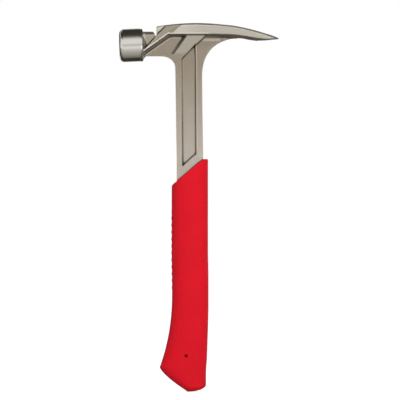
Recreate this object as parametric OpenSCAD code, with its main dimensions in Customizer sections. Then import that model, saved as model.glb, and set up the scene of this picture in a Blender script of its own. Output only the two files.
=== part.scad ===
// Straight claw hammer: one steel forging with a nail-starter magnet and a two-layer moulded grip.
// Frame: Z runs up the handle, X points along the claw, Y is the thickness.
// The origin is on the handle's axis, in the middle of the hand.

/* [Overall] */
// Length from the butt to the crown of the head
overall_length = 345.5; // [330:0.5:365]
// Height of the middle of the hand above the butt
hand_height = 100; // [85:1:115]

/* [Striking poll] */
// Diameter of the poll
poll_d = 31; // [29:0.25:33]
// Length of the poll's cylinder, from the face to its rear edge
poll_len = 20.2; // [17:0.2:24]
// Reach of the striking face from the handle's axis
face_reach = 66.4; // [62:0.2:72]
// Depth of the face's centre below the crown
face_drop = 21.5; // [20:0.25:23]
// Tilt of the face towards the handle
face_tilt = 2.5; // [0:0.25:4]
// Radius of the rounded rim of the face
rim_r = 3; // [1.5:0.25:4]
// Radius of the rounded rear edge
rear_r = 2.25; // [1.5:0.25:4]
// Radius of the small end of the poll's rear cone, inside the neck
cone_r = 8; // [6.5:0.25:9.5]

/* [Neck and nail starter] */
// Width of the neck across the sides
neck_w = 20; // [18.5:0.25:22]
// Depth of the neck's top below the crown
neck_top = 8.25; // [7.5:0.25:9]
// Depth of the head's underside below the crown
head_under = 31.1; // [29:0.1:34]
// Bevel along the neck's upper edges
neck_bevel = 2.6; // [1:0.1:3.5]
// Distance of the nail stop from the handle's axis
stop_reach = 30.9; // [29:0.1:33]
// Depth of the nail-head notch below the crown
notch_depth = 12.7; // [11:0.1:14]
// Width of the nail groove along the poll
groove_w = 5; // [4.5:0.1:6]
// Depth of the nail groove below the neck's top
groove_sink = 1; // [0.6:0.1:1.5]
// Diameter of the magnet
magnet_d = 6; // [5:0.1:7]
// Thickness of the magnet
magnet_t = 4; // [3:0.1:6]
// Glue gap round the magnet
magnet_gap = 0.05; // [0.02:0.01:0.15]

/* [Head bar and claw] */
// Radius of the crown's curve, seen from the side
crown_r = 215; // [190:5:250]
// Distance of the crown's highest point from the handle's axis
crown_x = 6; // [2:0.5:10]
// Radius of the crown's curve, seen from the end
arch_r = 70; // [50:5:120]
// Width of the head bar
bar_w = 25; // [23:0.25:27]
// Depth of the bar's keel below the crown
keel_drop = 13.1; // [12.4:0.1:13.8]
// Radius of the keel's curve under the claw
keel_r = 290; // [250:5:340]
// Slope of the claw's underside from the keel out to its sides
keel_slope = 14; // [12:0.5:17]
// Depth of the bar's lower edges below the crown, above the shank
bar_edge = 10.4; // [9.8:0.1:11.2]
// Slope of the bar's underside beside the web
bar_foot = 25; // [18:0.5:30]
// Bevel along the bar's lower edges
bar_bevel = 1.2; // [0.5:0.1:1.8]
// Tilt of the bevels along the lower edges of bar and band
bevel_tilt = 14; // [8:0.5:25]
// Slope of the bar's front end
bar_front_slope = 44.7; // [42:0.2:48]
// Reach of the claw's tip from the handle's axis
claw_reach = 83.7; // [78:0.1:90]
// Width of the claw where it is widest
claw_w = 29; // [26:0.25:32]
// Length of the bevel under the claw's tip
tip_bevel = 21; // [16:0.5:26]
// Thickness of the claw at its tip
tip_t = 0.7; // [0.5:0.1:1.6]
// Length of the nail slot
slot_len = 37; // [30:0.5:40]
// Width of the nail slot at the tip, on the crown side
slot_mouth = 8.6; // [7:0.2:11]
// Width of the nail slot at its root, on the crown side
slot_root = 2.2; // [1.6:0.1:3]
// Bevel angle of the nail slot's edges
slot_bevel = 9; // [3:0.5:12]
// Radius of the throat between claw and shank
throat_r = 31; // [28:0.25:34]
// Radius of the fillet between neck and shank
front_fillet = 10.3; // [8:0.1:13]

/* [Diagonal band and strut] */
// Depth of the band's lower corner behind the poll, below the crown
band_drop = 27; // [26:0.1:28]
// Slope of the band's lower edge
band_slope = 35.2; // [33:0.2:37]
// Depth of the band's upper edge below the crown, at the nail stop
band_stop_drop = 11.9; // [11:0.1:12.6]
// Slope of the band's upper edge
band_stop_slope = 47.7; // [46:0.1:50]
// Bevel along the band's lower edge
band_bevel = 1.5; // [1:0.1:2]
// Draft of the wall below the band
band_draft = 31; // [26:0.5:36]
// Width of the strut where it leaves the front flange
strut_low_w = 11; // [9:0.25:13]
// Width of the strut where it meets the bar
strut_top_w = 18.8; // [16:0.25:21]
// Distance of the strut's lower end in front of the handle's axis
strut_front = 13.7; // [12:0.1:15]
// Distance of the strut's upper end behind the handle's axis
strut_back = 9.1; // [7:0.1:11]
// Tilt of the strut's face, from the flange out to the bar
strut_tilt = 11; // [8:0.5:14]
// Width of the strut's sloping wall on the side of the poll
strut_wall = 2.3; // [1.5:0.1:3]
// Width of the strut's sloping wall on the side of the claw
strut_back_wall = 1; // [0.5:0.1:1.5]
// Height of the cove under the bar, beside the strut
root_drop = 6.3; // [4.5:0.1:8]

/* [Shank and tang] */
// Width of the shank, front to back
shank_w = 24.8; // [23:0.1:26.5]
// Thickness of the shank's flanges
shank_t = 13; // [11.5:0.25:14.5]
// Lean of the shank towards the poll
shank_lean = 0.9; // [0:0.1:1.5]
// Width of each flange beside the I-section channel
flange_w = 5.5; // [4.5:0.1:7]
// Thickness of the web at the bottom of the channel
web_t = 6; // [5:0.25:7]
// Draft of the channel's walls
channel_draft = 15; // [5:1:20]
// Depth of the channel's slanted top on the handle's axis, below the crown
channel_drop = 26.4; // [25:0.1:29]
// Slope of the channel's top, along the strut
channel_slope = 43; // [38:0.5:46]
// Height of the channel's slanted bottom above the collar
channel_gap = 10.6; // [8:0.1:14]
// Thickness of the tang inside the grip
tang_t = 8; // [6:0.25:9]
// Step from the shank in to the tang, on each edge
tang_step = 2.6; // [1.5:0.1:4]
// Height of the tang's end above the butt
tang_end = 24; // [20:0.5:30]
// Height of the shoulder between shank and tang above the butt
shoulder_h = 178; // [170:1:184]
// Width of each keying window in the tang
window_w = 7; // [5:0.25:9]
// Length of each keying window in the tang
window_len = 22; // [16:0.5:28]
// Spacing of the keying windows
window_pitch = 37; // [32:0.5:42]
// Length of the core below the tang's end
core_tail = 8; // [5:0.5:10]
// Corner radius of the core
core_r = 6; // [4:0.25:8]

/* [Grip] */
// Width of the grip, front to back
grip_w = 34.3; // [32.5:0.1:36.5]
// Thickness of the grip
grip_t = 27; // [25.5:0.25:29]
// Wall of the soft skin
skin_wall = 4.2; // [3.4:0.1:4.8]
// Bond line between the moulded layers and the steel
bond_gap = 0.05; // [0.02:0.01:0.12]
// Height of the collar's lip above the butt
collar_h = 218; // [213:0.5:224]
// Slope of the collar
collar_slope = 40; // [32:0.5:45]
// Distance of the collar's upper corner behind the handle's axis
collar_back = 12.2; // [10.5:0.1:13.5]
// Distance that the hooked butt stands out in front
hook = 11.2; // [8:0.1:14]
// Height of the hook's corner above the butt
hook_h = 23; // [20:0.5:26]
// Length of the flare that leads to the hook
flare_len = 63; // [50:1:75]
// Half length of the butt's flat, from front to back
butt_flat = 3; // [2:0.1:5]
// Height of the rounding at the back of the butt
back_round = 9; // [6:0.25:12]
// Height of the rounding at the sides of the butt
side_round = 8; // [5:0.25:11]
// How far the rear edge draws in towards the butt
back_taper = 2.6; // [1:0.1:4]
// How far each side swells out towards the butt
side_swell = 0.8; // [0:0.05:1.5]
// Length over which the grip tapers and swells towards the butt
taper_len = 78; // [60:1:95]
// Depth of the finger ribs on the front edge
rib_depth = 0.5; // [0.2:0.05:0.8]
// Spacing of the finger ribs
rib_pitch = 6.5; // [6:0.05:7]
// Number of finger ribs
rib_count = 11; // [9:1:12]
// Diameter of the locating hole near the butt
locator_d = 2.8; // [2:0.1:3.6]
// Height of the locating hole above the butt
locator_h = 33; // [30:0.5:38]
// Distance of the locating hole in front of the handle's axis
locator_front = 3.75; // [0:0.25:6]

/* [Hidden] */
butt_z = -hand_height;
crown_z = overall_length - hand_height;
collar_z = butt_z + collar_h;
shoulder_z = butt_z + shoulder_h;
poll_r = poll_d / 2;
// The face's centre, and a point on the poll's axis at its rear edge
face_at = [-face_reach, up(face_drop)];
rear_at = face_at + poll_len * [cos(face_tilt), sin(face_tilt)];
// Where the neck's top runs down into the notch
notch_x = -stop_reach - 3.8;
notch_low_x = -stop_reach - 1.4;
magnet_x = (rear_at.x + poll_r - 12.5 + notch_x) / 2;
magnet_z = up(neck_top + groove_sink);
flange_half = shank_t / 2;
// The front fillet and the throat are arcs that touch the shank's edges
fillet_at = [front_x(up(head_under + front_fillet)) - front_fillet, up(head_under + front_fillet)];
throat_top = keel_depth(back_x(up(45)) + throat_r);
throat_at = [back_x(up(throat_top + throat_r)) + throat_r, up(throat_top + throat_r)];
tang_w = shank_w - 2 * tang_step;
core_w = grip_w - 2 * skin_wall;
core_t = grip_t - 2 * skin_wall;
core_end = tang_end - core_tail;
locator = [-locator_front, butt_z + locator_h];
// The finger ribs end a little above the flare
rib_low = hook_h + flare_len + 5;
// Pads and cuts run this far above the crown, where it trims them
over = 4;
// The block of the nail stop ends inside the bar
block_end = -2;
// The band starts at the rear of the poll
band_x = rear_at.x - 0.3;
// The strut runs between these depths, and both its ends are inside other forms
strut_low = head_under + 2.9;
strut_top = bar_edge - 2.5;
// The bar starts where the band's lower edge meets its own, and widens into the claw from its end on
bar_front = -band_x - (band_drop + band_bevel / cos(band_slope) - bar_edge) / tan(band_slope);
bar_end = 12;
$fn = 96;

// Height of a depth below the crown
function up(d) = overall_length - hand_height - d;

// Centre of the shank at a height: it leans above the collar
function shank_x(z) = z > collar_z ? -(z - collar_z) * tan(shank_lean) : 0;

function front_x(z) = shank_x(z) - shank_w / 2;

function back_x(z) = shank_x(z) + shank_w / 2;

// Depth of the bar's keel below the crown, curving down along the claw
function keel_depth(x) = keel_drop + (x > 8 ? pow(x - 8, 2) / (2 * keel_r) : 0);

// Depth of the crown's curve below its highest point
function crown_depth(x) = crown_r - sqrt(pow(crown_r, 2) - pow(x - crown_x, 2));

function arc(c, r, a, b, n) = [for (i = [0:n]) c + r * [cos(a + (b - a) * i / n), sin(a + (b - a) * i / n)]];

// Height of the collar's slanted edge at a distance along X
function collar_line(x) = collar_z + (x - collar_back) * tan(collar_slope);

// A side profile, in X and Z, drawn through a thickness about the middle plane
module side(t) {
  rotate([90, 0, 0])
    linear_extrude(t, center = true)
      children();
}

// Rings of points with equal counts, joined into a closed solid
module loft(rings) {
  n = len(rings[0]);
  m = len(rings);
  points = [for (r = rings) each r];
  walls = [
    for (j = [0:m - 2], i = [0:n - 1])
      each let (a = j * n + i, b = j * n + (i + 1) % n) [[a, a + n, b], [b, a + n, b + n]]
  ];
  ends = [[for (i = [0:n - 1]) i], [for (i = [n - 1:-1:0]) (m - 1) * n + i]];
  polyhedron(points, concat(ends, walls));
}

// A raised pad on both sides, from rings of X, Z and level: its face first and its foot on the middle plane last
module raised(rings) {
  inner = len(rings) - 2;
  loft([
    for (r = rings) [for (p = rev(r)) [p.x, -p.z, p.y]],
    for (k = [inner:-1:0]) [for (p = rev(rings[k])) [p.x, p.z, p.y]],
  ]);
}

// A point of a side profile, lifted to a level
function lift(p, level) = [p.x, p.y, level];

// A drafted hollow cut into both sides down to a floor level
module hollow(mouth, floor_pts, level, floor_level) {
  for (s = [-1, 1])
    loft([
      [for (p = s < 0 ? rev(mouth) : mouth) [p.x, s * level, p.y]],
      [for (p = s < 0 ? rev(floor_pts) : floor_pts) [p.x, s * floor_level, p.y]],
    ]);
}

function rev(v) = [for (i = [len(v) - 1:-1:0]) v[i]];

// Side outline of the shank, cheeks and throat, open at the top where the crown trims it
module body_outline() {
  polygon(concat(
    [[front_x(shoulder_z), shoulder_z], [front_x(collar_z), collar_z]],
    arc(fillet_at, front_fillet, 0, 90, 10),
    [
      [rear_at.x + 0.5, up(head_under)],
      [rear_at.x + 0.5, up(neck_top)],
      [notch_x, up(neck_top)],
      [notch_low_x, up(notch_depth)],
      [-stop_reach, up(notch_depth - 1)],
      [-stop_reach, crown_z + over],
      [throat_at.x, crown_z + over],
    ],
    arc(throat_at, throat_r, 90, 180, 24),
    [[back_x(collar_z), collar_z], [back_x(shoulder_z), shoulder_z]]
  ));
}

// What is trimmed off above the crown, which is curved both along the head and across it
module crown_trim() {
  translate([crown_x, 0, crown_z - crown_r])
    rotate([90, 0, 0])
      rotate([0, 0, 60])
        rotate_extrude(angle = 60, $fn = 240)
          difference() {
            translate([crown_r - 8, -25])
              square([30, 50]);
            translate([crown_r - arch_r, 0])
              circle(arch_r, $fn = 180);
          }
}

function bar_half(x) =
  let (wide = claw_reach - 18, tip = claw_reach - 5)
    x < bar_end ? bar_w / 2
    : x < wide ? bar_w / 2 + (claw_w - bar_w) / 2 * (x - bar_end) / (wide - bar_end)
    : x < tip ? claw_w / 2 - 0.4 * (x - wide) / (tip - wide)
    : claw_w / 2 - 0.4 - 3.2 * pow((x - tip) / (claw_reach - tip), 2);

// Underside in the middle plane: inside the web below the bar, then the keel's curve, then the bevel up to the tip
function under_depth(x) =
  let (b = claw_reach - tip_bevel, tip = crown_depth(claw_reach) + tip_t)
    x <= bar_end ? bar_edge + bar_w / 2 * tan(bar_foot)
    : x < b ? keel_depth(x)
    : keel_depth(b) + (tip - keel_depth(b)) * (x - b) / tip_bevel;

// Slope of the underside out to the sides: it fades out along the tip's bevel
function under_slope(x) =
  x <= bar_end ? tan(bar_foot)
  : x < claw_reach - tip_bevel ? tan(keel_slope)
  : tan(keel_slope) * max(0.02, pow((claw_reach - x) / tip_bevel, 1.6));

// Section of the bar: keel, sloping underside, bevelled edges and upright sides
function bar_ring(x, w, d, slope, top_x) =
  let (edge = d - w * slope, b = min(bar_bevel, (edge - crown_depth(x)) * 0.3), in = b * tan(bevel_tilt))
    [
      [x, -w, up(edge - b)],
      [x, -w + in, up(edge + in * slope)],
      [x, 0, up(d)],
      [x, w - in, up(edge + in * slope)],
      [x, w, up(edge - b)],
      [top_x, w, crown_z + over],
      [top_x, -w, crown_z + over],
    ];

// The head bar and claw as one loft along X, with a slanted front end
module bar() {
  bevel_x = claw_reach - tip_bevel;
  stations = [
    bar_end,
    for (x = [bar_end + 8:8:bevel_x - 4]) x,
    bevel_x,
    for (x = [bevel_x + 4:4:claw_reach - 5.5]) x,
    claw_reach - 5,
    for (k = [3, 1.6, 0.7, 0]) claw_reach - k,
  ];
  front_top = -bar_front + (bar_edge - bar_bevel + over) / tan(bar_front_slope);
  loft([
    bar_ring(-bar_front, bar_half(-bar_front), under_depth(-bar_front), under_slope(-bar_front), front_top),
    for (x = stations) bar_ring(x, bar_half(x), under_depth(x), under_slope(x), x),
  ]);
}

// V-shaped nail slot, opening out below so that a nail's head beds in it
module nail_slot() {
  deep = 26;
  root_x = claw_reach - slot_len;
  function ring(z, grow) = [
    [root_x - grow, -slot_root / 4 - grow / 2, z],
    [root_x + slot_root / 2, -slot_root / 2 - grow, z],
    [claw_reach + 2, -slot_mouth / 2 - grow, z],
    [claw_reach + 2, slot_mouth / 2 + grow, z],
    [root_x + slot_root / 2, slot_root / 2 + grow, z],
    [root_x - grow, slot_root / 4 + grow / 2, z],
  ];
  loft([ring(up(deep), deep * tan(slot_bevel)), ring(crown_z + 2, 0)]);
}

// Depth of the band's lower edge along X
function band_low(x) = band_drop - (x - band_x) * tan(band_slope);

// Depth of the band's upper edge along X
function band_high(x) = band_stop_drop - (x + stop_reach) * tan(band_stop_slope);

// Neck behind the poll and the block of the nail stop, down to the diagonal band
module neck() {
  back = rear_at.x - 1;
  difference() {
    side(neck_w)
      polygon([
        [back, crown_z + over],
        [block_end, crown_z + over],
        [block_end, up(over)],
        [-bar_front, up(band_low(-bar_front))],
        [back, up(band_low(back))],
      ]);
    for (s = [-1, 1])
      translate([rear_at.x - 2, 0, up(neck_top)])
        rotate([90, 0, 90])
          linear_extrude(-stop_reach - rear_at.x + 2)
            polygon([
              [s * (neck_w / 2 - 1.5 * neck_bevel), 0.01],
              [s * (neck_w / 2 + 3), 0.01],
              [s * (neck_w / 2 + 3), -neck_bevel - 2],
              [s * neck_w / 2, -neck_bevel],
            ]);
  }
}

// Diagonal band that ties the neck to the bar: level with the bar along its lower edge, and tilted away above.
// Its edges meet in a point behind the poll.
module band() {
  level = bar_w / 2 - 0.05;
  sink = level - band_bevel * tan(bevel_tilt);
  // Square to the lower edge, and out from it
  out = [sin(band_slope), -cos(band_slope)];
  step = band_bevel * out;
  foot = step + sink * tan(band_draft) * out;
  // Where the upper edge meets the face's lower edge, and where it meets the bevel's
  narrowing = tan(band_stop_slope) - tan(band_slope);
  face_x = band_x + (band_high(band_x) - band_low(band_x)) / narrowing + 0.4;
  nose_x = face_x - band_bevel / cos(band_slope) / narrowing;
  nose = [nose_x, up(band_low(nose_x) + band_bevel / cos(band_slope))];
  top_z = crown_z + over;
  low_top = [band_x + (band_drop + over) / tan(band_slope), top_z];
  high_top = [-stop_reach + (band_stop_drop + over) / tan(band_stop_slope), top_z];
  high_nose = [nose_x, up(band_high(nose_x))];
  edge = [-0.6, 0.6];
  raised([
    [
      [face_x, up(band_low(face_x)), level],
      lift(low_top, level),
      lift(high_top, level - 0.8),
      [face_x, up(band_high(face_x)), level - 0.05],
    ],
    [lift(nose, sink), lift(low_top + step, sink), lift(high_top, sink - 0.8), lift(high_nose, sink - 0.05)],
    [lift(nose + foot - step, 0), lift(low_top + foot, 0), lift(high_top + edge, 0), lift(high_nose + edge, 0)],
  ]);
}

// Edge of the strut at a depth: side -1 is towards the poll, and 1 is towards the claw
function strut_edge(d, side) =
  let (k = (strut_low - d) / (strut_low - strut_top))
    -strut_front + (strut_front + strut_back) * k + side * (strut_low_w + (strut_top_w - strut_low_w) * k) / 2;

// Diagonal strut from the bar down to the shank's front flange, running out level with it
module strut() {
  function level(d) = flange_half + (strut_low - 4.5 - d) * tan(strut_tilt);
  // The walls end just inside the web
  function foot(d) = min(level(d), flange_half) - 0.3;
  function corner(d, side, grow, h) = [strut_edge(d, side) + side * grow, up(d), h];
  function ring(front, back, low, top) = [
    corner(strut_low, -1, front, low),
    corner(strut_low, 1, back, low),
    corner(strut_top, 1, back, top),
    corner(strut_top, -1, front, top),
  ];
  raised([
    ring(0, 0, level(strut_low), level(strut_top)),
    ring(strut_wall, strut_back_wall, foot(strut_low), foot(strut_top)),
    ring(strut_wall, strut_back_wall, 0, 0),
  ]);
}

// Cove between the throat's web and the bar, from the strut out along the claw, where it runs out above the keel
module throat_root() {
  start = strut_edge(bar_edge + root_drop, 1) - 1;
  steps = 6;
  turns = 5;
  // A quarter ellipse from the web, where it is upright, to the bar's lower edge, where it is level
  function ring(k) =
    let (
      x = start + (throat_at.x - 1.2 - start) * k,
      low = (bar_edge + root_drop) * (1 - pow(k, 3)) + (under_depth(x) - 0.6) * pow(k, 3),
      web = web_half(x) - 0.1,
      out = bar_half(x) - bar_bevel - web,
      rise = low - under_depth(x) + bar_half(x) * under_slope(x) + 0.3,
      half = [for (i = [0:turns]) [web + out * (1 - cos(90 * i / turns)), up(low - rise * sin(90 * i / turns))]]
    )
      [for (p = half) [x, p.x, p.y], for (p = rev(half)) [x, -p.x, p.y]];
  loft([for (j = [0:steps]) ring(j / steps)]);
}

// Half thickness of the web along X: it narrows to a keel under the claw
function web_half(x) =
  let (k = max(0, min(1, (x - 14) / (throat_at.x - 14))))
    flange_half - (flange_half - 0.5) * (1 - cos(180 * k)) / 2;

// Web and flanges before the channel is cut
module web_slab() {
  xs = [for (k = [0:10]) 14 + k * (throat_at.x - 14) / 10];
  intersection() {
    side(shank_t)
      body_outline();
    translate([0, 0, shoulder_z - 1])
      linear_extrude(crown_z - shoulder_z + 10)
        polygon(concat(
          [[-60, -flange_half]],
          [for (x = xs) [x, -web_half(x)]],
          [for (x = rev(xs)) [x, web_half(x)]],
          [[-60, flange_half]]
        ));
  }
}

// Poll turned about its tilted axis, with a rounded rear edge and a cone that runs into the neck
module poll() {
  back = poll_r - cone_r;
  // The rear rounding touches both the cylinder and the 45 degree cone
  rear_start = poll_len - rear_r * tan(22.5);
  translate([face_at.x, 0, face_at.y])
    rotate([0, 90 - face_tilt, 0])
      rotate_extrude($fn = 120)
        polygon(concat(
          [[0, 0]],
          arc([poll_r - rim_r, rim_r], rim_r, -90, 0, 8),
          arc([poll_r - rear_r, rear_start], rear_r, 0, 45, 4),
          [[cone_r, poll_len + back], [0, poll_len + back]]
        ));
}

// I-section channel in both sides of the shank
module channel() {
  floor_level = web_t / 2;
  grow = (flange_half - floor_level) * tan(channel_draft);
  mouth_level = bar_w / 2 + 1.5;
  reach = (mouth_level - floor_level) * tan(channel_draft);
  // The channel's edges on the flanges' level, about the handle's axis
  edge = shank_w / 2 - flange_w;
  // Slanted top along the strut, and slanted bottom along the collar
  function top_z(x) = up(channel_drop - x * tan(channel_slope));
  function low_z(x) = collar_line(x) + channel_gap;
  function at(g) = [
    [front_x(low_z(-edge)) + flange_w + g, low_z(-edge) + g * 1.6],
    [back_x(low_z(edge)) - flange_w - g, low_z(edge) + g * 0.9],
    [back_x(top_z(edge)) - flange_w - g, top_z(edge) - g * 1.7],
    [front_x(top_z(-edge)) + flange_w + g, top_z(-edge) - g * 0.7],
  ];
  hollow(at(grow - reach), at(grow), mouth_level, floor_level);
}

// Flat tang with keying windows, grown by a gap for the moulding round it
module tang(gap) {
  half = tang_w / 2 + gap;
  end_half = tang_w / 2 - 1.5 + gap;
  end_z = butt_z + tang_end - gap;
  // The windows are spread about a point above the tang's middle
  middle = shoulder_z - 0.4 * (shoulder_h - tang_end);
  difference() {
    side(tang_t + 2 * gap)
      polygon([[-end_half, end_z], [end_half, end_z], [half, shoulder_z + 2], [-half, shoulder_z + 2]]);
    for (k = [-1:1])
      translate([0, 0, middle + k * window_pitch])
        cube([window_w - 2 * gap, 4 * tang_t, window_len - 2 * gap], center = true);
  }
}

module forged_body() {
  color([0.62, 0.6, 0.55])
    difference() {
      union() {
        poll();
        difference() {
          union() {
            bar();
            intersection() {
              union() {
                web_slab();
                neck();
                band();
                strut();
                throat_root();
              }
              side(60)
                body_outline();
            }
          }
          crown_trim();
          nail_slot();
        }
        tang(0);
      }
      channel();
      // Nail groove along the top of the neck and poll
      translate([-face_reach - 5, 0, magnet_z + groove_w / 2])
        rotate([0, 90, 0])
          cylinder(d = groove_w, h = face_reach + 5 - stop_reach);
      translate([-face_reach - 5, -groove_w / 2, magnet_z + groove_w / 2])
        cube([face_reach + 5 - stop_reach, groove_w, 12]);
      // Pocket for the magnet
      translate([magnet_x, 0, magnet_z - magnet_t - magnet_gap])
        cylinder(d = magnet_d + 2 * magnet_gap, h = magnet_t + 12);
    }
}

module nail_magnet() {
  color([0.3, 0.3, 0.32])
    translate([magnet_x, 0, magnet_z - magnet_t])
      cylinder(d = magnet_d, h = magnet_t);
}

// Section of the hard core: a rectangle with round corners
module core_section(gap) {
  w = core_w + 2 * gap;
  t = core_t + 2 * gap;
  square([w - 2 * core_r, t], center = true);
  square([w, t - 2 * core_r], center = true);
  for (x = [-1, 1], y = [-1, 1])
    translate([x * (w / 2 - core_r), y * (t / 2 - core_r)])
      circle(core_r);
}

module core_body(gap) {
  translate([0, 0, butt_z + core_end - gap])
    linear_extrude(shoulder_h - core_end + gap)
      core_section(gap);
}

module locator_hole() {
  for (s = [-1, 1])
    translate([locator.x, s * (tang_t / 2 + 15), locator.y])
      rotate([90, 0, 0])
        cylinder(d = locator_d, h = 30, center = true, $fn = 32);
}

module grip_core() {
  color([0.14, 0.14, 0.15])
    difference() {
      core_body(-bond_gap);
      tang(bond_gap);
      locator_hole();
    }
}

// Front edge of the grip at a height above the butt: slanted foot, hook, flare, then straight
function grip_front(h) =
  let (out = grip_w / 2 + hook)
    h < hook_h ? -butt_flat - (out - butt_flat) * (1 - pow(1 - h / hook_h, 1.45))
    : -grip_w / 2 - hook * pow(max(0, 1 - (h - hook_h) / flare_len), 2);

// A quarter ellipse that rises from a start to an end over a height
function rounding(h, height, start, end) = start + (end - start) * sqrt(1 - pow(1 - min(h / height, 1), 2));

// Rear edge of the grip: rounded foot, then a gentle taper
function grip_back(h) =
  rounding(h, back_round, butt_flat, grip_w / 2 + 0.25 - back_taper * pow(max(0, 1 - h / taper_len), 1.2));

// Half thickness of the grip: rounded foot, then a gentle swell
function grip_half(h) =
  rounding(h, side_round, 2 * butt_flat, grip_t / 2 + side_swell * pow(max(0, 1 - h / taper_len), 2));

// Height of a finger rib: rounded crests with narrow valleys
function rib(h) =
  let (k = (h - rib_low) / rib_pitch)
    k < 0 || k > rib_count ? 0 : rib_depth * abs(sin(180 * k));

// Half of a section's width is rounded like an ellipse with full corners
function grip_ring(h) =
  let (f = grip_front(h), b = grip_back(h), c = (f + b) / 2, a = (b - f) / 2, n = 32)
    [
      for (i = [0:n - 1])
        let (u = cos(360 * i / n), v = sin(360 * i / n))
          [
            c + a * sign(u) * pow(abs(u), 0.8) - (u < 0 ? rib(h) * u * u : 0),
            grip_half(h) * sign(v) * pow(abs(v), 0.8),
            butt_z + h,
          ]
    ];

module grip_body() {
  heights = [
    0, 0.4, 1.2, 2.4, 4, 6, 8.5, 11.5, 15, 18, 20.5, hook_h,
    for (k = [1:9]) hook_h + k * flare_len / 9,
    for (k = [0:0.25:rib_count]) rib_low + k * rib_pitch,
    collar_h - 44, collar_h + 4,
  ];
  loft([for (h = heights) grip_ring(h)]);
}

module grip_skin() {
  color([0.8, 0.06, 0.09])
    difference() {
      grip_body();
      // Slanted collar with a level lip at the back
      side(80)
        polygon([
          [-45, collar_line(-45)],
          [collar_back, collar_z],
          [45, collar_z],
          [45, collar_z + 40],
          [-45, collar_z + 40],
        ]);
      core_body(0);
      // The shank's way in through the collar
      side(shank_t + 2 * bond_gap)
        polygon([
          [front_x(shoulder_z) - bond_gap, shoulder_z - 0.1],
          [back_x(shoulder_z) + bond_gap, shoulder_z - 0.1],
          [back_x(collar_z) + bond_gap, collar_z + 10],
          [front_x(collar_z) - bond_gap, collar_z + 10],
        ]);
      locator_hole();
    }
}

forged_body();
nail_magnet();
grip_core();
grip_skin();
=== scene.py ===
"""Studio scene of a straight claw hammer: its softened forging and moulded grip, with finishes and painted
light and shade.

Shapes are worked out in millimetres, in the frame's own axes: X along the claw, Y across the thickness and
Z up the handle, with the origin in the middle of the hand. Meshes are made in metres.
"""

import math

import bpy
import numpy as np
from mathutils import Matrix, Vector
from mathutils.bvhtree import BVHTree


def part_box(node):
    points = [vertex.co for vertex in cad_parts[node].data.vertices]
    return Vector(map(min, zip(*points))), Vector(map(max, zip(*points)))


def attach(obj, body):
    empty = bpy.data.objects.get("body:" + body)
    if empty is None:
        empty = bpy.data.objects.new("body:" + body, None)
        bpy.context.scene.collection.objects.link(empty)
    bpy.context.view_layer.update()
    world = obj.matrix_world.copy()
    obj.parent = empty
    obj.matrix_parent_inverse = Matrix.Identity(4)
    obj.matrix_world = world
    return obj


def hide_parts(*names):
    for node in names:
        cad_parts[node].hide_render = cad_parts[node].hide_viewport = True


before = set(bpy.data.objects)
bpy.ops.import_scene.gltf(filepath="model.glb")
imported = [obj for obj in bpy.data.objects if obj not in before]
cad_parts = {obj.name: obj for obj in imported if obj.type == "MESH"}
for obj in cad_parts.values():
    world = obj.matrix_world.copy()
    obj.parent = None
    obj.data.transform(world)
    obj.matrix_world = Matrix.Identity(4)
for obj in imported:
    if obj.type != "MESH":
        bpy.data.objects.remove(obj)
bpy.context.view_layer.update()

MM = 0.001
BUTT_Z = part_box("grip_skin")[0].z / MM
CROWN_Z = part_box("forged_body")[1].z / MM

# Camera: the photo is a level side view
FRAME_WIDTH = 375.0
FRAME_CENTRE = (9.4, 79.6)
LENS = 600.0
SENSOR = 36.0

# Forging: spacing of its grid, and rounds of smoothing that round off its edges
STEEL_GRID = 0.4
STEEL_ROUNDS = 3
# Points within a reach of the solid's faces are settled onto them, and then onto the true poll and crown.
# The pull fades over an outer share of the reach.
SETTLE_REACH = 0.16
PULL_REACH = 0.45
PULL_FADE = 0.6
# A point's rise is its height over its place after so many rounds: edges rise, and creases lie below
RISE_ROUNDS = 18
# Points that rise this far are smoothed along their own edge, within a reach
EDGE_RISE = 0.1
EDGE_ROUNDS = 160
EDGE_REACH = 0.13
CROWN_EDGE_REACH = 0.35
# The edges of crown and claw are softened once more, and half as much at the tip
SOFT_RISE = 0.06
SOFT_ROUNDS = 8
TIP_X = (79.0, 82.0)
TIP_SOFT = 0.5

# Poll: its face's centre and tilt, the profile that is turned about its axis, and the groove on top
FACE_AT = np.array([-66.4, 0.0, CROWN_Z - 21.5])
FACE_TILT = math.radians(2.5)
POLL_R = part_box("forged_body")[1].y / MM
POLL_LEN = 20.2
RIM_R = 4.4
RIM_REACH = 1.2
FACE_DOME = 0.45
RIM_LEAN = 0.5
REAR_R = 2.25
GROOVE_HALF = 2.5

# Crown: curved along the head and across it, and how far below its top it is looked for
CROWN_R = 215.0
CROWN_X = 6.0
ARCH_R = 70.0
CROWN_REACH = 25.0

# Head: depths are below the crown, and these values tell its finishes, painted highlights and painted shade
# apart
BAR_W = 25.0
CLAW_W = 29.0
CLAW_REACH = 83.7
BAR_EDGE = 10.4
BAR_FOOT = 13.2
BAR_FRONT = 16.9
BAR_FRONT_DROP = 10.0
BAR_FRONT_SLOPE = math.radians(41.3)
BAND_X = -46.5
BAND_DROP = 27.0
BAND_SLOPE = math.radians(35.2)
BAND_BEVEL = 1.5
BAND_WALL = 3.4
BAND_LEVEL = 12.45
STOP_X = -30.9
STOP_DROP = 11.9
STOP_SLOPE = math.radians(47.7)
NECK_HALF = 10.0
STRUT_LOW = 34.0
STRUT_TOP = 7.9
STRUT_LOW_X = (-19.2, -8.2)
STRUT_TOP_X = (-0.3, 18.5)
STRUT_TILT = math.radians(11)
STRUT_END = 29.5
STRUT_WALL = 2.3
# Where a spot of painted shade lies behind the poll, and where a painted highlight runs along the cove
HOLLOW_AT = (-42.2, 20.3)
HOLLOW_SPREAD = 1.4
COVE_LOW = 16.7
COVE_END = 28.0
FLANGE_HALF = 6.5
CLAW_FOOT = (16.5, 15.5)
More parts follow.
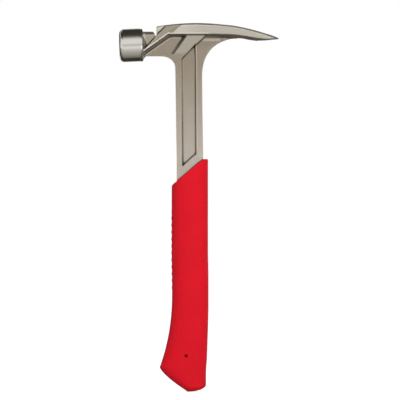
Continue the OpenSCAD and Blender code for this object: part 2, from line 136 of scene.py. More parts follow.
CORNER_X = BAND_X + (BAND_DROP + BAND_BEVEL / math.cos(BAND_SLOPE) - BAR_EDGE) / math.tan(BAND_SLOPE)

# Small shifts of the softened forging, each with the range over which it comes in. The poll's rear edge
# goes back, over a steeper cone and most of all in its upper half, and its top is a little higher.
POLL_STRETCH = 1.35
POLL_LEAN = 0.5
POLL_LEAN_FROM = (-4, 6)
CONE_END = 2.6
POLL_RISE = 0.35
POLL_RISE_FROM = (4, 14)
POLL_RISE_ALONG = (4, POLL_LEN - 3.5, 3)
# The channel's walls stand upright and its foot is lower. Pairs are heights and shifts along X.
CHANNEL_SHIFT = ([100, 121, 172, 208, 226], [0, -0.58, 0, 0.45, 0])
CHANNEL_DROP = 1.9
CHANNEL_DROP_FROM = (3, 10)
CHANNEL_DROP_Z = (165, 135)
SHANK_LEAN = math.radians(0.9)
# The roundings between shank and head are fuller, and the stop's wall is further forward
THROAT_AT = (-18.5, 211.0)
THROAT_SPREAD = 4.5
THROAT_SHIFT = 0.8
REAR_SHIFT = ([160, 196, 205, 212, 217, 221], [0, 0.22, 0.7, 0.5, 0.35, 0])
STOP_SHIFT = 0.45
STOP_SHIFT_X = (STOP_X - 0.2, STOP_X + 1, 3)
# The upper corner of the neck is further back
NECK_CORNER = (-34.3, 234.5)
NECK_SPREAD = 1.4
NECK_SHIFT = 0.7
# The claw is a little higher, most of all its tip, but not its underside near the tip
CLAW_RISE = 0.4
CLAW_RISE_X = (30, 42)
CLAW_UNDER_X = (56, 48)
CLAW_UPPER_Z = (229.5, 234)
TIP_RISE = 0.35
TIP_RISE_X = (70, 80)
# The lower edge of the bar is a little lower behind the strut
BAR_DROP = 0.2
BAR_DROP_X = (19, 30, 4)
BAR_DROP_DEPTH = (9.4, 13, 1.2)

# Where the finishes, painted highlights and painted shade of the head start and end
CROWN_LINE_X = (-9, 20, 3)
CROWN_DARK = (0.5, 1.6, 0.2)
CROWN_BRIGHT = (1.9, 2.6, 0.2)
FACE_FRONT_X = (12, -8)
BRIGHT_EDGE_X = (30, 14)
BAND_LINE_X = (-42, -22, 1)
BAR_FOOT_END = 30
STRUT_WALL_TOP = 12.5
REAR_WEB_END = 26
REAR_WEB_DEPTH = (28, 17)
POLL_SIDE_X = STOP_X - 5
POLISH_END = POLL_LEN + 0.2
POLISH_LOW, POLISH_LOW_FROM = 2.0, (-2, -7)
POLISH_TOP, POLISH_TOP_FROM = 1.2, (7.5, 9.5)
CONE_TOP_DEPTH = (21, 18.5)
CONE_LOW_DEPTH = (26, 29)
REAR_EDGE_DEPTH = (16, 20)
REAR_LOW_DEPTH = (23.5, 25.5)
REAR_TOP_DEPTH = (13, 11.5)
# How strong each of them is
GROUND_LEVELS = {"bar": 1.0, "strut": 0.6, "stop": 1.0, "neck": 0.35, "band": 0.2}
# Strengths of the painted highlights, on the bar's faces and then on the other places
FACE_LEVEL, FACE_FRONT_LEVEL, FACE_CROWN_LEVEL = 0.06, 0.22, 0.3
PAINTED_HIGHLIGHT_LEVELS = {
    "band": 1.0, "bar": 0.9, "face": 1.0, "stop": 0.35, "cone": 0.4, "wall": 0.38,
    "band_foot": 0.6, "bar_foot": 0.6, "cove": 0.36,
}
# Strengths of the painted shade: along the poll's rear edge, and in the head's other dark lines and
# downward faces
REAR_EDGE_LEVEL, REAR_EDGE_GAIN = 0.15, 0.5
PAINTED_SHADE_LEVELS = {
    "strut": 0.95, "upper": 0.6, "band_foot": 0.1, "bar_foot": 0.15, "stop": 0.35, "crown": 0.75,
    "rear_web": 0.15, "under": 0.33, "outline": 0.5, "hollow": 0.45, "rear": 1.0, "rear_low": 0.6,
    "rear_top": 0.9, "cone": 0.4,
}

# Painted shade and highlights on the shank: the painted shade of the channel's front wall fades towards its
# top, its rear wall has a painted highlight along its edge, and a corner at its foot has painted shade
WEAR_AND_SHADE_RISE = (0.05, 0.25)
FRONT_WALL_X = (-9, -5, 2)
FRONT_WALL_Z = (130, 195)
FRONT_WALL_END = (213, 209)
FAINT_CREASE, FAINT_EDGE = 0.95, 0.8
THIN_X = (-12, 20, 2)
THIN_Z = (185, 205)
THIN_END = (226, 219)
THIN_RISE = 0.08
SHANK_LIGHT = 0.22
SHANK_TOP = (212, 206)
SHANK_FOOT = (118, 145)
FOOT_CORNER = (-5.2, 116.2)
FOOT_CORNER_SPREAD = 0.8
FOOT_CORNER_LEVEL = 0.8
REAR_WALL_X = (5.2, 7.5, 0.6)
REAR_WALL_Z = (130, 222, 6)
REAR_WALL_RISE = (0.03, 0.12)
WALL_LEVEL = 0.5
# Painted shade along the collar's edge
SEAM_SHADE = (0.9, 0.2)
# Heights above the grip over which COOL is painted against the grip's red light
GRIP_GLOW = (14, 0)

# Grip: sizes of its section, and places as heights above the butt
GRIP_W = 34.3
GRIP_T = 27.0
GRIP_POINTS = 208
SQUARENESS = 0.8
SKIN_WALL = 4.2
HOOK = 11.2
HOOK_H = 23.0
FLARE_LEN = 63.0
FOOT_CURVE = 1.4
BUTT_FLAT = 3.0
BUTT_FRONT = 2.2
BUTT_BACK = -1.9
BACK_ROUND = 6.3
BACK_OUT = 0.25
BACK_WAIST = 0.33
BACK_WAIST_H = (18, 20, 14)
BACK_HOLLOW = 0.47
BACK_HOLLOW_H = (108, 130)
FRONT_HOLLOW = 0.35
SIDE_ROUND = 5.5
BACK_TAPER = 2.6
BACK_TAPER_CURVE = 1.2
SIDE_SWELL = 0.8
TAPER_LEN = 78.0
RIB_DEPTH = 0.4
RIB_PITCH = 6.5
RIB_COUNT = 11
RIB_LOW = HOOK_H + FLARE_LEN + 11.5
RIB_SHARPNESS = 4
LAST_RIB = 0.5
RIBS_END = RIB_LOW + (RIB_COUNT + 0.5) * RIB_PITCH + 1.5
COLLAR_H = 218.0
COLLAR_SLOPE = math.radians(40)
COLLAR_BACK = 12.2
COLLAR_ROUND = 1.3
COLLAR_CORNER = 1.2
SHOULDER_H = 178.0
CORE_END = 16.0
CORE_R = 6.0
SHANK_W = 24.8
SHANK_T = 13.0
HOLLOW_CORNER = 0.01
SHOULDER_GAP = 0.1
BOND_GAP = 0.05
# Locating hole: (X, Z), its size, and a countersink that softens its rim
LOCATOR = (-3.75, BUTT_Z + 33.6)
LOCATOR_D = 2.8
LOCATOR_DEPTH = 3.8
LOCATOR_POINTS = 40
LOCATOR_WALL = GRIP_T / 2 + 0.3
LOCATOR_RIM = 0.5
SINK_OUT = 2.0
SINK_WIDER = 2.4
# Spacing of the grip's rings below the ribs, rings to a rib, and rings of its other parts
RING_STEP = 0.7
RINGS_PER_RIB = 14
BUTT_RINGS, COLLAR_RINGS, ROUND_RINGS, TOP_RINGS = 24, 40, 8, 6
SHARP_ANGLE = math.radians(40)


def ramp(value, low, high):
    """0 below low, 1 above high and a smooth rise between them."""
    t = np.clip((value - low) / (high - low), 0, 1)
    return t * t * (3 - 2 * t)


def strip(value, low, high, soft=0.4):
    """1 between low and high, with soft ends outside them."""
    return ramp(value, low - soft, low) * ramp(value, high + soft, high)


def gauss(x, y, spread):
    """A soft spot that is 1 in its middle."""
    return np.exp(-(x * x + y * y) / (2 * spread**2))


def make_object(name, mesh):
    made = bpy.data.objects.new(name, mesh)
    bpy.context.collection.objects.link(made)
    return made


# Softened forging


def grid_mesh(node, spacing):
    """A copy of a CAD node's solid as an even grid of quads."""
    copy = make_object(node + "_grid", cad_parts[node].data.copy())
    remesh = copy.modifiers.new("grid", "REMESH")
    remesh.mode = "VOXEL"
    remesh.voxel_size = spacing * MM
    mesh = bpy.data.meshes.new_from_object(copy.evaluated_get(bpy.context.evaluated_depsgraph_get()))
    bpy.data.objects.remove(copy)
    return mesh


def smoothed(points, edges, rounds, share=0.5):
    """Points after rounds of moving each one that has two or more neighbours towards their mean."""
    count = len(points)
    degree = np.bincount(edges.ravel(), minlength=count)[:, None]
    share = share * (degree > 1)
    for _ in range(rounds):
        total = np.stack(
            [
                np.bincount(edges[:, 0], points[edges[:, 1], k], count)
                + np.bincount(edges[:, 1], points[edges[:, 0], k], count)
                for k in range(3)
            ],
            1,
        )
        points = points + share * (total / np.maximum(degree, 1) - points)
    return points


def pulled(points, target, reach=PULL_REACH):
    """Points within reach of a surface, pulled onto their targets on it."""
    gap = np.linalg.norm(target - points, axis=1)
    share = np.clip((reach - gap) / (PULL_FADE * reach), 0, 1)[:, None]
    return points + share * (target - points)


def on_solid(node, points):
    """The nearest points of a CAD node's surface."""
    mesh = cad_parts[node].data
    corners = [v.co / MM for v in mesh.vertices]
    tree = BVHTree.FromPolygons(corners, [tuple(p.vertices) for p in mesh.polygons])
    return np.array([tree.find_nearest(p)[0] for p in points])


def poll_place(points):
    """In the poll's frame: (its axis, distance behind the face, distance from the axis, direction)"""
    axis = np.array([math.cos(FACE_TILT), 0, math.sin(FACE_TILT)])
    along = (points - FACE_AT) @ axis
    away = points - FACE_AT - along[:, None] * axis
    radius = np.linalg.norm(away, axis=1)
    return axis, along, radius, away / np.maximum(radius, 1e-6)[:, None]


def on_poll(points):
    """The nearest points of the poll's turned surface: face, rim, cylinder, rear rounding and cone."""
    axis, t, r, out = poll_place(points)
    rear_start = POLL_LEN - REAR_R * math.tan(math.pi / 8)
    bend = np.where(t < POLL_LEN / 2, RIM_R, REAR_R)
    mid_t = np.clip(t, RIM_R, rear_start)
    dt, dr = t - mid_t, r - (POLL_R - bend)
    length = np.maximum(np.hypot(dt, dr), 1e-6)
    new_t = mid_t + bend * dt / length
    new_r = POLL_R - bend + bend * dr / length
    face = (t < RIM_R) & (dr < 0)
    new_t, new_r = np.where(face, 0, new_t), np.where(face, r, new_r)
    cone = dt > np.maximum(dr, 0)
    slack = (POLL_R - REAR_R + rear_start + REAR_R * math.sqrt(2) - r - t) / 2
    new_t, new_r = np.where(cone, t + slack, new_t), np.where(cone, r + slack, new_r)
    return FACE_AT + new_t[:, None] * axis + new_r[:, None] * out


def on_crown(points):
    """The nearest points of the crown's surface."""
    middle = np.array([CROWN_X, CROWN_Z - CROWN_R])
    away = points[:, [0, 2]] - middle
    radius = np.linalg.norm(away, axis=1)
    arch = CROWN_R - ARCH_R + np.sqrt(np.maximum(ARCH_R**2 - points[:, 1] ** 2, 0))
    flat = middle + away * (arch / radius)[:, None]
    return np.stack([flat[:, 0], points[:, 1], flat[:, 1]], 1)


def fitted(points):
    """Points moved by less than 2 mm, to where the photo shows poll, channel, roundings and claw."""
    axis, along, radius, _ = poll_place(points)
    x, z = points[:, 0], points[:, 2]
    rise = z - FACE_AT[2]
    stretch = POLL_STRETCH + POLL_LEAN * ramp(rise, *POLL_LEAN_FROM)
    back = stretch * np.interp(along, [RIM_R, POLL_LEN, POLL_LEN + CONE_END], [0, 1, 0])
    lean = FACE_DOME + RIM_LEAN * rise / POLL_R
    back += lean * (radius / POLL_R) ** 2 * ramp(along, 2 * RIM_R, 0)
    middle = -np.maximum(z - BUTT_Z - COLLAR_H, 0) * math.tan(SHANK_LEAN)
    channel = ramp(np.abs(x - middle), SHANK_W / 2 - 2, SHANK_W / 2 - 4)
    throat = gauss(x - THROAT_AT[0], z - THROAT_AT[1], THROAT_SPREAD) * THROAT_SHIFT * math.sqrt(0.5)
    stop = strip(x, *STOP_SHIFT_X) * ramp(above_band(x, CROWN_Z - z), -1, 0)
    along_x = channel * np.interp(z, *CHANNEL_SHIFT) - throat - STOP_SHIFT * stop
    along_x += NECK_SHIFT * gauss(x - NECK_CORNER[0], z - NECK_CORNER[1], NECK_SPREAD)
    along_x += ramp(x, SHANK_W / 4, SHANK_W / 2 - 2) * np.interp(z, *REAR_SHIFT)
    upper = np.maximum(ramp(x, *CLAW_UNDER_X), ramp(z, *CLAW_UPPER_Z))
    along_z = CLAW_RISE * upper * ramp(x, *CLAW_RISE_X) + TIP_RISE * ramp(x, *TIP_RISE_X) - throat
    along_z += POLL_RISE * ramp(rise, *POLL_RISE_FROM) * strip(along, *POLL_RISE_ALONG)
    along_z -= BAR_DROP * strip(x, *BAR_DROP_X) * strip(CROWN_Z - z, *BAR_DROP_DEPTH)
    foot = ramp(z - collar_top(x), *CHANNEL_DROP_FROM) * ramp(z, *CHANNEL_DROP_Z)
    along_z -= CHANNEL_DROP * channel * foot
    return points + back[:, None] * axis + np.stack([along_x, np.zeros_like(x), along_z], 1)


def head_place(points):
    """(X, distance from the middle plane, depth below the crown)"""
    return points[:, 0], np.abs(points[:, 1]), CROWN_Z - points[:, 2]


def below_band(x, depth):
    """Distance below the band's lower edge, square to it."""
    return (depth - BAND_DROP + (x - BAND_X) * math.tan(BAND_SLOPE)) * math.cos(BAND_SLOPE)


def above_band(x, depth):
    """Height above the band's upper edge."""
    return STOP_DROP - (x - STOP_X) * math.tan(STOP_SLOPE) - depth


def below_crown(x, depth):
    """Depth below the crown's curve."""
    return depth - CROWN_R + np.sqrt(CROWN_R**2 - (x - CROWN_X) ** 2)


def bar_half(x):
    """Half the width of bar and claw."""
    return BAR_W / 2 + (CLAW_W - BAR_W) / 2 * ramp(x, CROWN_X, CLAW_REACH - 12)


# In these shares, bare numbers are margins in millimetres, within which one finish or painted mark turns
# into the next, or bounds of a normal's part along an axis


def outer(y, half, start=1.2, end=0.5):
    """1 on a side face, given half the width between it and its opposite, and 0 from a margin inside it."""
    return ramp(y, half - start, half - end)


def strongest(levels, **shares):
    """The largest of several shares, each times its level."""
    return np.maximum.reduce([levels[name] * value for name, value in shares.items()])


def bar_share(x, y, depth):
    """1 on the ground sides of bar and claw."""
    front = x + BAR_FRONT - (BAR_FRONT_DROP - depth) / math.tan(BAR_FRONT_SLOPE)
    return outer(y, bar_half(x), 1.0, 0.6) * ramp(front, -0.4, 0.3) * ramp(depth, *CLAW_FOOT)


def stop_share(x, y, depth):
    """1 on the sides of the nail stop."""
    return ramp(x, STOP_X - 0.4, STOP_X) * ramp(above_band(x, depth), 0.2, 0.7) * outer(y, NECK_HALF)


def strut_edges(depth):
    """X of the strut's front and rear edges."""
    k = (STRUT_LOW - depth) / (STRUT_LOW - STRUT_TOP)
    return [low + (top - low) * k for low, top in zip(STRUT_LOW_X, STRUT_TOP_X)]


def polish_share(points):
    """1 on the polished poll, as far as its rear edge, and a little less far at its bottom and top."""
    _, along, _, _ = poll_place(points)
    rise = points[:, 2] - FACE_AT[2]
    end = POLISH_END - POLISH_LOW * ramp(rise, *POLISH_LOW_FROM) - POLISH_TOP * ramp(rise, *POLISH_TOP_FROM)
    return ramp(along, end + 0.5, end)


def cone_share(points):
    """1 on the upper part of the cone behind the poll, as far as the neck."""
    x, _, depth = head_place(points)
    _, along, _, _ = poll_place(points)
    upper = ramp(depth, *CONE_TOP_DEPTH) * ramp(x, POLL_SIDE_X + 1, POLL_SIDE_X)
    return strip(along, POLL_LEN + 0.8, POLL_LEN + 7) * upper


def ground_share(points):
    """1 on the sides of bar and claw, which are ground bright, and less on strut, stop, neck and band."""
    x, y, depth = head_place(points)
    above = above_band(x, depth)
    left, right = strut_edges(depth)
    level = FLANGE_HALF + (STRUT_END - depth) * math.tan(STRUT_TILT)
    strut = outer(y, level, 0.7, 0.3) * strip(x, left + 0.8, right - 0.2)
    strut *= ramp(depth, STRUT_END + 1.5, STRUT_END - 3) * ramp(depth, STRUT_TOP, STRUT_TOP + 1)
    neck = ramp(x, STOP_X, STOP_X - 1) * ramp(above, -0.2, 0.4) * outer(y, NECK_HALF)
    band = ramp(above, 0.2, -0.4) * ramp(below_band(x, depth), 0.3, -0.2)
    band *= ramp(y, NECK_HALF + 0.6, NECK_HALF + 1.2)
    bar, stop = bar_share(x, y, depth), stop_share(x, y, depth)
    return strongest(GROUND_LEVELS, bar=bar, strut=strut, stop=stop, neck=neck, band=band)


def painted_highlight_share(points):
    """Painted highlight: 1 along the band's bevel, and less on other edges, fillets and faces."""
    x, y, depth = head_place(points)
    below = below_band(x, depth)
    foot = BAND_BEVEL + BAND_WALL
    left, right = strut_edges(depth)
    _, along, _, _ = poll_place(points)
    band = strip(below, 0.6, BAND_BEVEL - 0.2, 0.3) * outer(y, BAND_LEVEL, 1.3, 0.9)
    band *= ramp(x, CORNER_X + 1.5, CORNER_X)
    bar = ramp(depth, BAR_EDGE - 1.2, BAR_EDGE - 0.8) * outer(y, BAR_W / 2, 1.2, 0.7)
    bar *= ramp(x, CORNER_X - 0.5, CORNER_X + 0.5) * ramp(x, *BRIGHT_EDGE_X)
    crown = strip(below_crown(x, depth), *CROWN_BRIGHT) * strip(x, *CROWN_LINE_X)
    face = FACE_LEVEL + FACE_FRONT_LEVEL * ramp(x, *FACE_FRONT_X) + FACE_CROWN_LEVEL * crown
    face *= bar_share(x, y, depth)
    stop = stop_share(x, y, depth)
    cone = cone_share(points) * ramp(along, POLL_LEN + 5.5, POLL_LEN + 4.5)
    wall = strip(below, BAND_BEVEL + 1.0, foot - 1.2) * strip(x, BAND_X, CORNER_X)
    web = ramp(y, FLANGE_HALF + 0.9, FLANGE_HALF + 0.4)
    band_foot = web * strip(below, foot + 0.2, foot + 0.9, 0.4) * ramp(x, CORNER_X + 5, CORNER_X + 3)
    bar_foot = web * strip(depth, BAR_FOOT + 0.2, BAR_FOOT + 0.9) * strip(x, CORNER_X + 5, left - 4.5, 2)
    cove = ramp(depth, COVE_LOW - 3.2, COVE_LOW - 0.6) * ramp(depth, COVE_LOW + 0.7, COVE_LOW)
    cove *= strip(x, right + 1.2, COVE_END, 1) * ramp(y, FLANGE_HALF + 2, FLANGE_HALF + 1.4)
    edges = {"band": band, "bar": bar, "face": face, "stop": stop, "cone": cone, "wall": wall}
    return strongest(PAINTED_HIGHLIGHT_LEVELS, **edges, band_foot=band_foot, bar_foot=bar_foot, cove=cove)


def painted_shade_share(points, normals):
    """Painted shade: 1 in the head's dark lines, and less on what faces down or, at edges, along +X."""
    x, y, depth = head_place(points)
    below, above = below_band(x, depth), above_band(x, depth)
    _, along, _, _ = poll_place(points)
    left, right = strut_edges(depth)
    under = ramp(-normals[:, 2], 0.6, 0.95)
    outline = ramp(np.maximum(normals[:, 0], -normals[:, 2]), 0.2, 0.5)
    outline *= ramp(np.abs(normals[:, 1]), 0.15, 0.4)
    crown = strip(below_crown(x, depth), *CROWN_DARK) * strip(x, *CROWN_LINE_X)
    crown *= outer(y, BAR_W / 2, 1.1, 0.6)
    # Painted shade at the foot of the wall under the band, and on the strut's wall, darker up to the
    # strut's edge
    foot = BAND_BEVEL + BAND_WALL
    band_foot = strip(below, foot - 1.1, foot - 0.4) * strip(x, BAND_X, CORNER_X)
    band_foot *= ramp(y, FLANGE_HALF + 0.2, FLANGE_HALF + 0.6)
    strut = np.clip((x - left + STRUT_WALL + 1) / (STRUT_WALL + 1), 0, 1) * ramp(x, left + 0.9, left + 0.5)
    strut *= strip(depth, STRUT_WALL_TOP, STRUT_END - 1, 1)
    bar_foot = strip(depth, BAR_EDGE + 0.6, BAR_FOOT - 0.4) * strip(x, right, BAR_FOOT_END, 2)
    rear_web = ramp(depth, *REAR_WEB_DEPTH) * strip(x, right + 2, REAR_WEB_END, 2)
    rear_web *= ramp(y, FLANGE_HALF + 1.6, FLANGE_HALF + 1)
    # Painted shade along the band's upper edge, which ends in a hollow behind the poll, and along the
    # poll's rear edge
    upper = strip(above, -0.2, 0.5, 0.3) * strip(x, *BAND_LINE_X) * outer(y, NECK_HALF, 1, 0.5)
    hollow = gauss(x - HOLLOW_AT[0], depth - HOLLOW_AT[1], HOLLOW_SPREAD) * (above > -0.5)
    rear = REAR_EDGE_LEVEL + REAR_EDGE_GAIN * ramp(depth, *REAR_EDGE_DEPTH)
    rear *= strip(along, POLL_LEN + 0.4, POLL_LEN + 0.8, 0.2)
    poll_side = x < POLL_SIDE_X
    rear_low = strip(along, POLL_LEN - 0.8, POLL_LEN + 1.8) * ramp(depth, *REAR_LOW_DEPTH) * poll_side
    rear_top = strip(along, POLL_LEN - 1.2, POLL_LEN + 1) * ramp(depth, *REAR_TOP_DEPTH) * poll_side
    cone = strip(along, POLL_LEN + 0.6, POLL_LEN + 5) * ramp(depth, *CONE_LOW_DEPTH) * poll_side
    stop = strip(x, STOP_X - 0.2, STOP_X + 0.6, 0.2) * stop_share(x, y, depth)
    faces = {"under": under, "outline": outline, "crown": crown, "rear_web": rear_web, "stop": stop}
    feet = {"band_foot": band_foot, "bar_foot": bar_foot, "strut": strut, "upper": upper, "hollow": hollow}
    poll = {"rear": rear, "rear_low": rear_low, "rear_top": rear_top, "cone": cone}
    return strongest(PAINTED_SHADE_LEVELS, **faces, **feet, **poll)


def share_attribute(mesh, name, values):
    attribute = mesh.attributes.new(name, "FLOAT", "POINT")
    attribute.data.foreach_set("value", np.asarray(values, np.float32))


def forging_points(mesh, edges):
    """The grid's points after smoothing, settled onto the solid and onto the true poll and crown."""
    points = np.empty(len(mesh.vertices) * 3)
    mesh.vertices.foreach_get("co", points)
    points = smoothed(points.reshape(-1, 3) / MM, edges, STEEL_ROUNDS)
    points = pulled(points, on_solid("forged_body", points), SETTLE_REACH)
    _, along, _, _ = poll_place(points)
    near_poll = points[:, 0] < FACE_AT[0] + POLL_LEN + POLL_R
    points[near_poll] = pulled(points[near_poll], on_poll(points[near_poll]))
    in_groove = (np.abs(points[:, 1]) < GROOVE_HALF) & (points[:, 2] > FACE_AT[2])
    near_rim = (along < 2 * RIM_R) & ~in_groove
    points[near_rim] = pulled(points[near_rim], on_poll(points[near_rim]), RIM_REACH)
    near_crown = (points[:, 2] > CROWN_Z - CROWN_REACH) & (points[:, 0] > STOP_X)
    points[near_crown] = pulled(points[near_crown], on_crown(points[near_crown]))
    return points, near_poll, near_crown


def even_edges(points, edges, rise, near_poll, near_crown):
    """Points with each edge smoothed along itself, which takes out the grid's steps."""
    on_edge = (rise > EDGE_RISE) & ~near_poll
    moved = smoothed(points, edges[on_edge[edges].all(1)], EDGE_ROUNDS) - points
    length = np.linalg.norm(moved, axis=1)
    reach = np.where(near_crown, CROWN_EDGE_REACH, EDGE_REACH)
    points = points + moved * np.minimum(1, reach / np.maximum(length, 1e-9))[:, None]
    soft = near_crown * ramp(rise, 0.0, SOFT_RISE) * (1 - TIP_SOFT * ramp(points[:, 0], *TIP_X))
    return points + soft[:, None] * (smoothed(points, edges, SOFT_ROUNDS) - points)


def finish_shares(mesh, points, normals, rise):
    """Attributes for the finishes, worn edges, painted highlights and painted shade of head and shank."""
    x, z = points[:, 0], points[:, 2]
    above_grip = z - collar_top(x)
    faint = strip(x, *FRONT_WALL_X) * ramp(z, *FRONT_WALL_Z) * ramp(z, *FRONT_WALL_END)
    thin = THIN_RISE * strip(x, *THIN_X) * ramp(z, *THIN_Z) * ramp(z, *THIN_END)
    # Painted shade in creases, fainter on the channel's front wall, on the cone and along the shank
    crease = ramp(-rise - thin, *WEAR_AND_SHADE_RISE) * (1 - FAINT_CREASE * faint) * (1 - cone_share(points))
    crease *= 1 - SHANK_LIGHT * ramp(z, *SHANK_TOP) * ramp(z, *SHANK_FOOT)
    # Painted shade in a corner at the channel's foot and along the collar's edge
    corner = FOOT_CORNER_LEVEL * gauss(x - FOOT_CORNER[0], z - FOOT_CORNER[1], FOOT_CORNER_SPREAD)
    dark = [crease, corner, ramp(above_grip, *SEAM_SHADE), painted_shade_share(points, normals)]
    # Worn edges, lightened with a painted highlight where they don't face along +X
    edge = ramp(rise, *WEAR_AND_SHADE_RISE) * (1 - FAINT_EDGE * faint) * ramp(normals[:, 0], 0.6, 0.2)
    # Painted highlights along the channel's rear wall and on its front wall
    rear_wall = strip(x, *REAR_WALL_X) * ramp(rise, *REAR_WALL_RISE) * strip(z, *REAR_WALL_Z)
    front_wall = faint * ramp(normals[:, 0], 0.15, 0.5)
    bright = [painted_highlight_share(points), WALL_LEVEL * rear_wall, WALL_LEVEL * front_wall]
    share_attribute(mesh, "polish", polish_share(points))
    share_attribute(mesh, "ground", ground_share(points))
    share_attribute(mesh, "bright", np.maximum.reduce(bright))
    share_attribute(mesh, "edge", edge)
    # Where COOL is painted against the grip's red light
    share_attribute(mesh, "near_grip", ramp(above_grip, *GRIP_GLOW))
    share_attribute(mesh, "crease", np.maximum.reduce(dark))


def make_forging():
    """The forging with rounded edges, a true poll and crown, and shares for finishes, painted highlights
    and shade.
    """
    mesh = grid_mesh("forged_body", STEEL_GRID)
    edges = np.empty(len(mesh.edges) * 2, np.int32)
    mesh.edges.foreach_get("vertices", edges)
    edges = edges.reshape(-1, 2)
    points, near_poll, near_crown = forging_points(mesh, edges)
    mesh.vertices.foreach_set("co", (points * MM).ravel())
    mesh.update()
    mesh.shade_smooth()
    normals = np.empty(len(mesh.vertices) * 3)
    mesh.vertex_normals.foreach_get("vector", normals)
    normals = normals.reshape(-1, 3)
    rise = ((points - smoothed(points, edges, RISE_ROUNDS)) * normals).sum(1)
    points = even_edges(points, edges, rise, near_poll, near_crown)
    finish_shares(mesh, points, normals, rise)
    mesh.vertices.foreach_set("co", (fitted(points) * MM).ravel())
    mesh.update()
    return make_object("steel_forging", mesh)


# Moulded grip


def grip_front(h):
    """Front edge at a height above the butt: slanted foot, hook, flare, then straight."""
    out = GRIP_W / 2 + HOOK
    foot = -BUTT_FRONT - (out - BUTT_FRONT) * (1 - np.maximum(1 - h / HOOK_H, 0) ** FOOT_CURVE)
    hollow = FRONT_HOLLOW * gauss(h - RIB_LOW, 0, 2 * RIB_PITCH)
    flare = -GRIP_W / 2 - HOOK * np.maximum(0, 1 - (h - HOOK_H) / FLARE_LEN) ** 2
    return np.where(h < HOOK_H, foot, flare + hollow)


def rounding(h, height, start, end):
    """A quarter ellipse that rises from start to end over a height."""
    return start + (end - start) * np.sqrt(1 - (1 - np.minimum(h / height, 1)) ** 2)


def grip_back(h):
    """Back edge at a height above the butt."""
    side = GRIP_W / 2 + BACK_OUT - BACK_TAPER * np.maximum(0, 1 - h / TAPER_LEN) ** BACK_TAPER_CURVE
    side -= BACK_WAIST * strip(h, *BACK_WAIST_H) + BACK_HOLLOW * ramp(h, *BACK_HOLLOW_H)
    return rounding(h, BACK_ROUND, BUTT_BACK, side)


def grip_half(h):
    """Half the grip's thickness at a height above the butt."""
    side = GRIP_T / 2 + SIDE_SWELL * np.maximum(0, 1 - h / TAPER_LEN) ** 2
    return rounding(h, SIDE_ROUND, 2 * BUTT_FLAT, side)


def rib(h):
    """Height of the finger ribs: narrow rounded crests with wide valleys, and a lower one on top."""
    k = (h - RIB_LOW) / RIB_PITCH
    depth = RIB_DEPTH * (1 - LAST_RIB * ramp(k, RIB_COUNT - 0.7, RIB_COUNT - 0.3))
    crest = np.cos(np.pi * k) ** RIB_SHARPNESS
    return np.where((k < -0.5) | (k > RIB_COUNT + 0.5), 0, depth * crest)


def collar_top(x):
    """Height of the collar's edge along X: a slope that turns level at the lip, with a soft corner."""
    slope = BUTT_Z + COLLAR_H + (x - COLLAR_BACK) * math.tan(COLLAR_SLOPE)
    level = BUTT_Z + COLLAR_H
    k = np.clip(0.5 + (level - slope) / (2 * COLLAR_CORNER), 0, 1)
    return level + (slope - level) * k - COLLAR_CORNER * k * (1 - k)


def section(h, inset=0.0):
    """The grip's outline at a height above the butt, drawn in by an inset: (X, Y) of each point."""
    angle = np.linspace(0, 2 * np.pi, GRIP_POINTS, endpoint=False)
    u, v = np.cos(angle), np.sin(angle)
    front, back = grip_front(h), grip_back(h)
    x = (front + back) / 2 + ((back - front) / 2 - inset) * np.sign(u) * np.abs(u) ** SQUARENESS
    y = (grip_half(h) - inset) * np.sign(v) * np.abs(v) ** SQUARENESS
    return x - np.where(u < 0, rib(h) * u * u, 0), y


def box_section(half_x, half_y, corner):
    """A rectangle with round corners, with a point for each point of the grip's outline."""
    angle = np.linspace(0, 2 * np.pi, GRIP_POINTS, endpoint=False)
    u, v = np.cos(angle), np.sin(angle)
    x, y = np.array([half_x * u, half_y * v]) / np.maximum(np.abs(u), np.abs(v))
    middle_x, middle_y = np.sign(x) * (half_x - corner), np.sign(y) * (half_y - corner)
    dx, dy = x - middle_x, y - middle_y
    length = np.maximum(np.hypot(dx, dy), 1e-6)
    round_x, round_y = middle_x + corner * dx / length, middle_y + corner * dy / length
    turn = (np.abs(x) > half_x - corner) & (np.abs(y) > half_y - corner)
    return np.where(turn, round_x, x), np.where(turn, round_y, y)


def ring_mesh(name, rings):
    """A closed mesh through rings of points in millimetres, with a fan at each end."""
    rings = np.array(rings)
    m, n, _ = rings.shape
    points = np.concatenate([rings.reshape(-1, 3), rings[:1].mean(1), rings[-1:].mean(1)])
    row, i = np.arange(m - 1)[:, None] * n, np.arange(n)
    after = (i + 1) % n
    quads = np.stack([row + i, row + after, row + n + after, row + n + i], -1).reshape(-1, 4)
    first = np.stack([after, i, np.full(n, m * n)], 1)
    last = np.stack([i, after, np.full(n, m * n + 1)], 1) + [(m - 1) * n, (m - 1) * n, 0]
    mesh = bpy.data.meshes.new(name)
    mesh.from_pydata((points * MM).tolist(), [], quads.tolist() + first.tolist() + last.tolist())
    return mesh


def ring(x, y, z):
    """The points of one ring, at one height or at a height for each point."""
    return np.stack([x, y, np.broadcast_to(z, x.shape)], 1)


